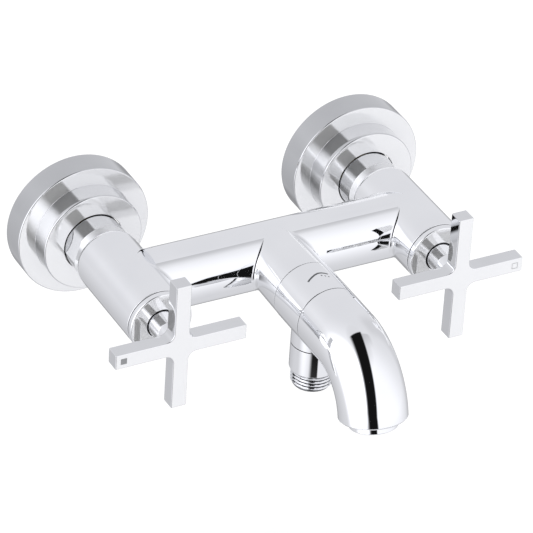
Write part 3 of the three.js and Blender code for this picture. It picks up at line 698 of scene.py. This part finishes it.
def add_index(side):
    """Small square near the end of one arm: solid for hot, an outline for cold."""
    low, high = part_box(f"{side}_index_inlay")
    cx, cz, half = (low.x + high.x) / 2, (low.z + high.z) / 2, (high.x - low.x) / 2
    line = half if side == "hot" else 0.26 * MM
    proud = 0.015 * MM
    bm = bmesh.new()
    squares = []
    for size in (half, half - line):
        for y in (low.y - proud, high.y):
            corners = [(-size, -size), (size, -size), (size, size), (-size, size)]
            squares.append([bm.verts.new((cx + px, y, cz + pz)) for px, pz in corners])
    outer_front, outer_back, inner_front, inner_back = squares
    for i in range(4):
        n = (i + 1) % 4
        bm.faces.new((outer_front[i], outer_front[n], outer_back[n], outer_back[i]))
        if side == "cold":
            bm.faces.new((inner_front[i], inner_back[i], inner_back[n], inner_front[n]))
            bm.faces.new((outer_front[i], inner_front[i], inner_front[n], outer_front[n]))
            bm.faces.new((outer_back[i], outer_back[n], inner_back[n], inner_back[i]))
    if side == "hot":
        for v in inner_front + inner_back:
            bm.verts.remove(v)
        bm.faces.new(outer_front)
        bm.faces.new(outer_back[::-1])
    bmesh.ops.recalc_face_normals(bm, faces=bm.faces)
    piece = object_from(bm, f"{side}_index_mark", VALVE_BODY[side], ENAMEL)
    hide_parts(f"{side}_index_inlay")


# ---- diverter housing and hose outlet --------------------------------------------------------
def add_housing():
    """Short tube with the outlet boss below; both skins share the curve where they meet."""
    verts, faces = [], []
    edge = SEAM_EDGE
    back_y, front_y = HOUSING_BACK - edge, HOUSING_FRONT + edge
    steps = 48
    psi = [math.pi * k / steps for k in range(steps + 1)]

    def column(p):
        """Angle on the housing and half length of the hole for one boss angle."""
        x = BOSS_R * math.cos(p)
        return -math.acos(x / HOUSING_R), BOSS_R * math.sin(p)

    columns = [column(p) for p in psi]
    sweep = 2 * math.pi - (columns[0][0] - columns[-1][0])
    extra = 64
    rest = [(columns[-1][0] - sweep * k / extra, 0.0) for k in range(1, extra)]
    columns = columns + rest + [columns[0]]

    def points(place):
        return [(HOUSING_R * math.cos(a), place(reach), HOUSING_R * math.sin(a)) for a, reach in columns]

    back, front = points(lambda r: back_y), points(lambda r: front_y)
    grid_between(back, points(lambda r: OUTLET_Y + r), 6, verts, faces)
    grid_between(points(lambda r: OUTLET_Y - r), front, 6, verts, faces)
    tube_end(verts, faces, back[:-1], (0, 0, 0),
             arc_outline(HOUSING_R, back_y, HOUSING_R - edge, HOUSING_BACK, 3))
    tube_end(verts, faces, front[:-1], (0, 0, 0),
             arc_outline(HOUSING_R, front_y, HOUSING_R - edge, HOUSING_FRONT, 3)
             + [(DRUM_BORE_R, HOUSING_FRONT), (DRUM_BORE_R, DRUM_BORE_END)])
    around = psi + [math.pi + p for p in psi[1:]]
    top, bottom = [], []
    for p in around:
        x, y = BOSS_R * math.cos(p), OUTLET_Y + BOSS_R * math.sin(p)
        top.append((x, y, -math.sqrt(HOUSING_R ** 2 - x * x)))
        bottom.append((x, y, BOSS_Z + edge))
    grid_between(top, bottom, 2, verts, faces)
    count = len(around) - 1
    base = len(verts)
    verts.extend(bottom[:-1])
    for k in range(1, 4):
        a = math.pi / 2 * k / 3
        r = BOSS_R - edge * (1 - math.cos(a))
        verts.extend((r * math.cos(p), OUTLET_Y + r * math.sin(p), BOSS_Z + edge * (1 - math.sin(a)))
                     for p in around[:-1])
    for j in range(3):
        for i in range(count):
            n = (i + 1) % count
            a = base + j * count
            faces.append((a + i, a + n, a + count + n, a + count + i))
    faces.append(tuple(range(base + 3 * count, base + 4 * count)))
    piece = make_object("diverter_housing_skin", verts, faces, FIXED, CHROME, "chrome", sharp_deg=22)
    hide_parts("diverter_housing")


def mark_point(across, along, lift):
    """A point on top of the housing: `across` is arc length from the top line."""
    a = math.pi / 2 - across / HOUSING_R
    r = HOUSING_R + lift
    return Vector((r * math.cos(a), (HOUSING_BACK + HOUSING_FRONT) / 2 - along, r * math.sin(a)))


def add_pictogram():
    """Engraved spray mark: a bent stroke and three short drops, filled grey."""
    strokes = []
    bend = [(-6.4, 1.1), (-5.2, 0.3), (-3.4, -0.6), (-1.6, -1.45), (0.4, -2.1), (2.2, -2.05),
            (4.0, -1.5), (5.4, -0.8)]
    strokes.append(([(a * MM, b * MM) for a, b in bend], 0.5 * MM))
    for k in range(3):
        start = (1.2 + 1.6 * k, -0.3 + 0.75 * k)
        strokes.append(([(start[0] * MM, start[1] * MM),
                         ((start[0] + 0.35) * MM, (start[1] + 0.75) * MM)], 0.3 * MM))
    bm = bmesh.new()
    for path, half in strokes:
        add_stroke(bm, path, half)
    bmesh.ops.recalc_face_normals(bm, faces=bm.faces)
    object_from(bm, "spray_mark", FIXED, MARK, weighted=False)


def add_stroke(bm, path, half):
    """One stroke of the mark as a thin closed strip that follows the round housing."""
    fine = []
    for (x0, y0), (x1, y1) in zip(path, path[1:]):
        fine.extend((x0 + (x1 - x0) * k / 4, y0 + (y1 - y0) * k / 4) for k in range(4))
    fine.append(path[-1])
    rows = []
    for i, (px, py) in enumerate(fine):
        qx, qy = fine[min(i + 1, len(fine) - 1)]
        rx, ry = fine[max(i - 1, 0)]
        along = Vector((qx - rx, qy - ry)).normalized()
        out = Vector((-along.y, along.x)) * half
        row = []
        for s, lift in ((1, 0.012 * MM), (-1, 0.012 * MM), (-1, -0.2 * MM), (1, -0.2 * MM)):
            row.append(bm.verts.new(mark_point(px + s * out.x, py + s * out.y, lift)))
        rows.append(row)
    for a, b in zip(rows, rows[1:]):
        for k in range(4):
            n = (k + 1) % 4
            bm.faces.new((a[k], a[n], b[n], b[k]))
    bm.faces.new(rows[0])
    bm.faces.new(rows[-1][::-1])


def add_nipple():
    """Hose nipple with a helical G1/2 thread."""
    shoulder = -34.7 * MM
    bottom = NIPPLE_LOW.z
    crest = 10.4 * MM
    depth = 1.16 * MM
    bore = 7.3 * MM
    spigot = 9.3 * MM
    # A black shoulder sits flush in the gap under the outlet boss: a dark ring put there as painted shade
    # for the seam.
    seam_shade_r = min(BOSS_R, NIPPLE_R) - 0.06 * MM
    seam_shade_top, seam_shade_low = BOSS_Z - 0.03 * MM, BOSS_Z - 0.5 * MM
    body = rounded([(5.5 * MM, NIPPLE_HIGH.z), (spigot, NIPPLE_HIGH.z), (spigot, seam_shade_top),
                    (seam_shade_r, seam_shade_top), (seam_shade_r, seam_shade_low),
                    (NIPPLE_R, seam_shade_low), (NIPPLE_R, shoulder), (crest - depth, shoulder)],
                   [0, 0.2 * MM, 0, 0, 0, 0.12 * MM, 0.35 * MM, 0], closed=False)
    around = AROUND
    rings = [[r] * around + [h] for r, h in body]
    places, radius = thread_rings(bottom + 0.35 * MM, shoulder - 0.5 * MM, crest, depth,
                                  PIPE_PITCH, 0.1 * MM)
    for h, fade in reversed(places):
        rings.append([radius(h, fade, 2 * math.pi * i / around) for i in range(around)] + [h])
    rings.append([crest - depth - 0.1 * MM] * around + [bottom])
    for r, h in rounded([(bore, bottom), (bore, -24.5 * MM), (5.5 * MM, -24.5 * MM)],
                        [0, 0.2 * MM, 0], closed=False):
        rings.append([r] * around + [h])
    verts = []
    for ring in rings:
        h = ring[-1]
        for i in range(around):
            a = 2 * math.pi * i / around
            verts.append((ring[i] * math.cos(a), OUTLET_Y + ring[i] * math.sin(a), h))
    faces = turned_faces(len(rings), around, True)
    piece = make_object("hose_nipple", verts, faces, FIXED, CHROME, "chrome", sharp_deg=50)
    # Those shoulder faces are black: painted shade.
    face_finish_or_painted_light(piece, RUBBER_AND_SEAM_SHADE, lambda _, centre: seam_shade_low < centre.z < seam_shade_top + 0.01 * MM
                 and math.hypot(centre.x, centre.y - OUTLET_Y) > spigot + 0.1 * MM)
    # Thread roots take the near-black chrome copy: painted shade in the grooves.
    root = crest - 0.5 * depth
    face_finish_or_painted_light(piece, THREAD_ROOT_SHADE, lambda _, centre: centre.z < shoulder - 0.2 * MM
                 and bore + 0.5 * MM < math.hypot(centre.x, centre.y - OUTLET_Y) < root)
    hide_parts("outlet_nipple")


# ---- spout -----------------------------------------------------------------------------------
def spout_place(s, start=SPOUT_BACK):
    """Point and direction on the spout's centre line at a distance from its rear end."""
    straight = start - SPOUT_BEND_Y
    bend = SPOUT_BEND_R * SPOUT_BEND
    if s <= straight:
        return Vector((0, start - s, 0)), Vector((0, -1, 0))
    a = min((s - straight) / SPOUT_BEND_R, SPOUT_BEND)
    rest = max(s - straight - bend, 0)
    way = Vector((0, -math.cos(a), -math.sin(a)))
    point = Vector((0, SPOUT_BEND_Y - SPOUT_BEND_R * math.sin(a), -SPOUT_BEND_R * (1 - math.cos(a))))
    return point + way * rest, way


SPOUT_LENGTH = SPOUT_BACK - SPOUT_BEND_Y + SPOUT_BEND_R * SPOUT_BEND + SPOUT_END


def spout_rings(rings, around):
    verts = []
    for s, r in rings:
        point, way = spout_place(s)
        up = Vector((1, 0, 0)).cross(way)
        for i in range(around):
            a = 2 * math.pi * i / around
            verts.append(point + Vector((1, 0, 0)) * (r * math.cos(a)) + up * (r * math.sin(a)))
    return verts


def add_spout():
    edge, lip = SEAM_EDGE, 0.8 * MM
    # A black ring sits just under the surface in the gap between housing and spout: painted shade for the
    # seam.
    glide = SPOUT_R - SEAM_SINK
    outline = [(glide, HOUSING_FRONT - 0.08 * MM), (glide, SPOUT_BACK - 0.05 * MM),
               (14.5 * MM, SPOUT_BACK - 0.05 * MM), (14.5 * MM, HOUSING_FRONT - 0.08 * MM)]
    turned("spout_seam_shade_ring", outline, (0, 0, 0), SPOUT_BODY, RUBBER_AND_SEAM_SHADE, "rubber", around=128)
    rings = [(0, 11 * MM), (0, SPOUT_R - edge)]
    for k in range(1, 4):
        a = math.pi / 2 * k / 3
        rings.append((edge * (1 - math.cos(a)), SPOUT_R - edge * (1 - math.sin(a))))
    length = SPOUT_LENGTH - lip - edge
    steps = 72
    rings.extend((edge + length * k / steps, SPOUT_R) for k in range(1, steps + 1))
    end = SPOUT_LENGTH
    profile = rounded([(end - lip - edge, SPOUT_R), (end - lip, SPOUT_R), (end, SPOUT_R - lip),
                       (end, MOUTH_R), (end - 6 * MM, MOUTH_R)],
                      [0, 0.3 * MM, 0.3 * MM, 0.3 * MM, 0], 3, closed=False)
    rings.extend(profile[1:])
    around = AROUND
    verts = spout_rings(rings, around)
    faces = turned_faces(len(rings), around, False)
    faces.append(tuple(range(around)))
    faces.append(tuple(range(len(verts) - around, len(verts))))
    piece = make_object("spout_skin", verts, faces, SPOUT_BODY, CHROME, "chrome", sharp_deg=40)
    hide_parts("spout")


def mouth_matrix():
    """Carries a piece turned about -Y from the origin to the spout's mouth."""
    point, way = spout_place(SPOUT_LENGTH)
    return Matrix.Translation(point) @ Matrix.Rotation(SPOUT_BEND, 4, "X")


def turned_at_mouth(name, outline, material, slot, **more):
    piece = turned(name, outline, (0, 0, 0), SPOUT_BODY, material, slot, **more)
    piece.data.transform(mouth_matrix())
    return piece


def add_aerator():
    out = AERATOR_OUT
    shell = rounded([(AERATOR_R, 5.5 * MM), (AERATOR_R, -out), (9.0 * MM, -out), (9.0 * MM, -out + 1 * MM),
                     (10.2 * MM, -out + 1 * MM), (10.2 * MM, 5.5 * MM)],
                    [0.1 * MM, 0.6 * MM, 0.3 * MM, 0.1 * MM, 0.1 * MM, 0.1 * MM])
    ring = turned_at_mouth("aerator_shell", shell, CHROME, "chrome")
    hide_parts("aerator_housing")
    bm = bmesh.new()
    radius, pitch, thick = 9.9 * MM, 1.5 * MM, 0.28 * MM
    lines = int(radius / pitch)
    for across in (False, True):
        for k in range(-lines, lines + 1):
            c = k * pitch
            reach = math.sqrt(max(radius ** 2 - c * c, 0)) - 0.2 * MM
            y = -out + (1.7 if across else 1.95) * MM
            size = (reach, thick, thick / 2) if across else (thick / 2, thick, reach)
            place = (0, y, c) if across else (c, y, 0)
            made = bmesh.ops.create_cube(bm, size=2)
            bmesh.ops.scale(bm, verts=made["verts"], vec=size)
            bmesh.ops.translate(bm, verts=made["verts"], vec=place)
    bmesh.ops.transform(bm, matrix=mouth_matrix(), verts=bm.verts)
    screen = object_from(bm, "aerator_screen", SPOUT_BODY, PLASTIC, weighted=False)
    rim = rounded([(9.9 * MM, -out + 1.3 * MM), (8.9 * MM, -out + 1.3 * MM), (8.9 * MM, 2.4 * MM),
                   (9.9 * MM, 2.4 * MM)], [0.15 * MM] * 4)
    holder = turned_at_mouth("aerator_holder", rim, PLASTIC, "plastic")
    backing = turned_at_mouth("aerator_backing", [(9.0 * MM, 0.5 * MM), (9.0 * MM, 2.2 * MM)],
                              PLASTIC, "plastic", closed=False)
    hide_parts("aerator_insert")
    return holder, backing


# ---- hidden pieces keep their CAD shape ------------------------------------------------------
def paint_cad_nodes():
    for entry in frame["record"]["subparts"]:
        node = frame["nodes"][entry["node"]]
        for slot in node.material_slots:
            slot.link = "OBJECT"
            slot.material = BY_SLOT[entry["material_slot"]]


# ---- studio ----------------------------------------------------------------------------------
FLOOR_DROP = 0.11
DOME_R = 1.25
BAND_AZIMUTH = -20            # the dark gap between the soft boxes starts at the front here


def add_floor():
    low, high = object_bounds()
    z = low.z - FLOOR_DROP
    mesh = bpy.data.meshes.new("floor")
    half = 12.0
    mesh.from_pydata([(-half, -half, z), (half, -half, z), (half, half, z), (-half, half, z)], [],
                     [(0, 1, 2, 3)])
    n = Nodes("pale_floor")
    tone = n.noise(3, 2)
    n.link(n.ramp(tone, [(0.3, (0.93, 0.93, 0.93)), (0.7, (0.95, 0.95, 0.95))]),
           n.shader.inputs["Base Color"])
    n.shader.inputs["Roughness"].default_value = 0.9
    n.shader.inputs["Emission Color"].default_value = (1, 1, 1, 1)
    n.shader.inputs["Emission Strength"].default_value = 0.16
    mesh.materials.append(n.material)
    floor = bpy.data.objects.new("floor", mesh)
    floor.visible_glossy = False
    bpy.context.scene.collection.objects.link(floor)


def dome_material():
    """White tent with a grey back right side, a grey ground and one dark gap over the front.

    A darker patch opposite the photo's camera draws thin outlines; it stays put in other views.
    """
    n = Nodes("soft_box_tent")
    n.tree.nodes.remove(n.shader)
    way = n.add("ShaderNodeVectorMath", operation="NORMALIZE")
    n.link(n.place, way.inputs[0])

    def along(axis):
        node = n.add("ShaderNodeVectorMath", operation="DOT_PRODUCT")
        n.link(way.outputs["Vector"], node.inputs[0])
        node.inputs[1].default_value = axis
        return node.outputs["Value"]

    def step(value, start, end, low=0.0, high=1.0, shape="SMOOTHSTEP"):
        node = n.add("ShaderNodeMapRange", interpolation_type=shape)
        for key, number in zip(("From Min", "From Max", "To Min", "To Max"), (start, end, low, high)):
            node.inputs[key].default_value = number
        n.link(value, node.inputs["Value"])
        return node.outputs["Result"]

    def math_node(operation, a, b):
        node = n.add("ShaderNodeMath", operation=operation)
        for socket, value in zip(node.inputs, (a, b)):
            if isinstance(value, float):
                socket.default_value = value
            else:
                n.link(value, socket)
        return node.outputs["Value"]

    up = along((0, 0, 1))
    back = along((0, 1, 0))
    tone = step(along(direction(150, 25)), -0.3, 0.78, 1.12, 0.79)
    dip = math_node("MULTIPLY", step(along(direction(22, 0)), 0.3, 0.05),
                    step(along(direction(22, 0)), -0.3, -0.05))
    dip = math_node("MULTIPLY", dip, step(along(direction(112, 0)), 0.5, 0.8, 0.0, 0.13))
    seam = math_node("MULTIPLY", step(back, -0.3, 0.03), step(back, 0.07, 0.04))
    seam = math_node("MULTIPLY", seam, step(along((1, 0, 0)), 0.05, 0.2))
    seam = math_node("MULTIPLY", seam, step(up, 0.8, 0.9, 0.0, 0.25))
    tone = math_node("MULTIPLY", tone, math_node("SUBTRACT", 1.0, dip))
    tone = math_node("MINIMUM", tone, step(up, 0.74, 0.98, 1.12, 0.78))
    tone = math_node("MULTIPLY", tone, math_node("SUBTRACT", 1.0, seam))
    left = step(along(direction(-75, 10)), 0.6, 0.85, 1.0, 1.6)
    tone = math_node("MULTIPLY", tone, left)
    ground = step(up, -0.9, -0.15, 0.64, 1.0, "LINEAR")
    corner = step(along(direction(-135, -30)), 0.6, 0.92, 1.0, 0.8)
    ground = math_node("MULTIPLY", ground, corner)
    opposite = along(direction(CAMERA_AZIMUTH + 180, -CAMERA_ELEVATION))
    ground = math_node("MULTIPLY", ground, step(opposite, 0.86, 0.97, 1.0, 0.55))
    across = along(direction(BAND_AZIMUTH + 90, 0))
    across = math_node("ADD", across, math_node("MULTIPLY", math_node("MINIMUM", up, 0.0), 0.19))
    right = math_node("SUBTRACT", across, math_node("MULTIPLY", math_node("MAXIMUM", up, 0.0), 0.07))
    soft, sharp = step(across, -0.50, -0.24), step(across, -0.42, -0.27)
    sharpen = math_node("MULTIPLY", step(up, -0.4, 0.1), math_node("SUBTRACT", sharp, soft))
    gap = math_node("MULTIPLY", math_node("ADD", soft, sharpen), step(right, 0.165, 0.095))
    gap = math_node("MULTIPLY", gap, step(back, 0.115, 0.085))
    gap = math_node("MULTIPLY", gap, step(up, -0.80, -0.55))
    light = math_node("MULTIPLY", math_node("MULTIPLY", tone, ground), math_node("SUBTRACT", 1.0, gap))
    shader = n.add("ShaderNodeEmission", Color=(0.975, 0.98, 1.02, 1))
    n.link(math_node("ADD", light, 0.008), shader.inputs["Strength"])
    n.link(shader.outputs["Emission"], n.tree.nodes["Material Output"].inputs["Surface"])
    n.material.cycles.emission_sampling = "NONE"
    return n.material


def add_dome():
    """The tent shows only in the chrome; the plain white world lights everything else."""
    bm = bmesh.new()
    bmesh.ops.create_uvsphere(bm, u_segments=64, v_segments=32, radius=DOME_R)
    mesh = bpy.data.meshes.new("dome")
    bm.to_mesh(mesh)
    bm.free()
    mesh.materials.append(dome_material())
    dome = bpy.data.objects.new("dome", mesh)
    dome.location = (0, CROSSBAR_Y, 0)
    dome.visible_camera = False
    dome.visible_diffuse = False
    dome.visible_shadow = False
    bpy.context.scene.collection.objects.link(dome)


CAMERA_TARGET = Vector((1.8, -60.0, -12.0)) * MM
CAMERA_AZIMUTH = -29.3
CAMERA_ELEVATION = 33.5
CAMERA_ROLL = 3.8
CAMERA_DISTANCE = 1.998
CAMERA_LENS = 277.6


def direction(azimuth, elevation):
    a, e = math.radians(azimuth), math.radians(elevation)
    return Vector((math.sin(a) * math.cos(e), -math.cos(a) * math.cos(e), math.sin(e)))


def add_camera():
    data = bpy.data.cameras.new("camera")
    data.sensor_width = 36
    data.lens = CAMERA_LENS
    data.clip_start, data.clip_end = 0.1, 100
    camera = bpy.data.objects.new("camera", data)
    back = direction(CAMERA_AZIMUTH, CAMERA_ELEVATION)
    turn = (-back).to_track_quat("-Z", "Y").to_matrix().to_4x4()
    roll = Matrix.Rotation(math.radians(CAMERA_ROLL), 4, "Z")
    camera.matrix_world = Matrix.Translation(CAMERA_TARGET + back * CAMERA_DISTANCE) @ turn @ roll
    bpy.context.scene.collection.objects.link(camera)
    bpy.context.scene.camera = camera


def add_world():
    world = bpy.data.worlds.new("studio")
    world.use_nodes = True
    bpy.context.scene.world = world
    world.node_tree.nodes["Background"].inputs["Color"].default_value = (1, 1, 1, 1)
    world.node_tree.nodes["Background"].inputs["Strength"].default_value = 1.0


for side in SIDES:
    add_rosette(side)
    add_wall_seal(side)
    add_union_nut(side)
    add_eccentric_union(side)
    add_front_ring(side)
    add_handle(side)
    add_index(side)
add_body()
add_housing()
add_pictogram()
add_nipple()
add_spout()
add_aerator()
paint_cad_nodes()
add_floor()
add_dome()
add_world()
add_camera()
bpy.context.scene.view_settings.view_transform = "Standard"
